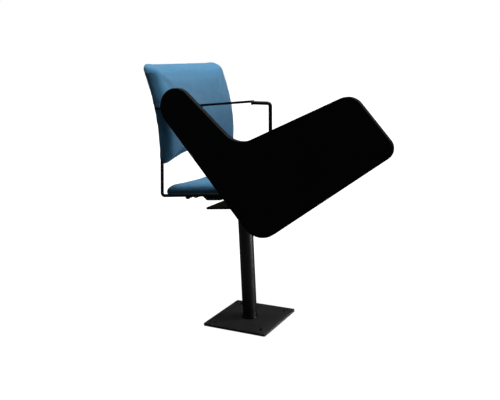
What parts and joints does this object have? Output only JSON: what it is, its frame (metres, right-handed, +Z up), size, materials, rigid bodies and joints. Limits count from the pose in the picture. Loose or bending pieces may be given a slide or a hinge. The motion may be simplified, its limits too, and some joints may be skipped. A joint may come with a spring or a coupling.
{
  "type": "tip up auditorium seat",
  "caption": "Single-column auditorium seat with tip-up padded seat, curved padded back and a side writing tablet that flips up and swings over the lap.",
  "frame": {"origin": "centre of the floor plate's underside, on the floor", "axes": "+X forward, the way the sitter faces; +Y to the sitter's left; +Z up"},
  "size_m": [0.7946, 0.458, 0.855],
  "materials": {
    "charcoal_paint": "matt",
    "slate_paint": "satin",
    "black_paint": "satin",
    "black_steel": "matt",
    "plain_steel": "satin",
    "upholstery": "matt",
    "seat_board_wood": "matt",
    "cover_plastic": "matt",
    "black_rubber": "matt",
    "nylon": "matt",
    "tablet_laminate": "matt",
    "edging_plastic": "satin"
  },
  "bodies": {
    "frame": {"floor_plate": "charcoal_paint", "column": "slate_paint", "foot_weld": "slate_paint", "top_plate": "black_paint", "riser_tube": "black_paint", "riser_bolts": "black_steel", "riser_nuts": "black_steel", "channel_bolts": "black_steel", "channel_nuts": "black_steel", "cross_channel": "black_paint", "right_frame_rod": "black_paint", "left_frame_rod": "black_paint", "front_cross_rod": "black_paint", "seat_axle": "black_paint", "arm_bar": "black_paint", "back_board": "seat_board_wood", "back_cushion": "upholstery", "back_cover": "cover_plastic", "back_clips": "black_paint", "back_screws": "black_steel", "hinge_leaf": "black_steel", "leaf_screws": "black_steel", "hinge_pin": "plain_steel", "rest_stop": "black_steel", "stop_buffer": "black_rubber", "arm_pad": "black_rubber"},
    "seat": {"seat_board": "seat_board_wood", "seat_cushion": "upholstery", "seat_saddle_right": "black_steel", "seat_saddle_left": "black_steel", "seat_bush_right": "nylon", "seat_bush_left": "nylon", "saddle_screws": "plain_steel", "seat_buffers": "black_rubber"},
    "carrier": {"carrier_plate": "black_steel", "pivot_stud": "plain_steel", "stop_pin": "plain_steel", "swing_washers": "nylon", "stud_washer": "plain_steel", "stud_nut": "plain_steel"},
    "tablet": {"tablet_board": "tablet_laminate", "tablet_edging": "edging_plastic", "pivot_flange": "black_steel", "flange_screws": "plain_steel"}
  },
  "joints": [
    {"name": "seat_tip", "type": "hinge", "parent": "frame", "child": "seat", "pos_m": [-0.08732, 0, 0.45517], "axis": [0, -1, 0], "range_deg": [0, 64]},
    {"name": "tablet_flip", "type": "hinge", "parent": "frame", "child": "carrier", "pos_m": [-0.067, -0.2185, 0.72878], "axis": [-0.9988, 0, -0.048], "range_deg": [0, 90]},
    {"name": "tablet_swing", "type": "hinge", "parent": "carrier", "child": "tablet", "pos_m": [-0.067, -0.2185, 0.72878], "axis": [0, -1, 0], "range_deg": [0, 53.6]}
  ]
}
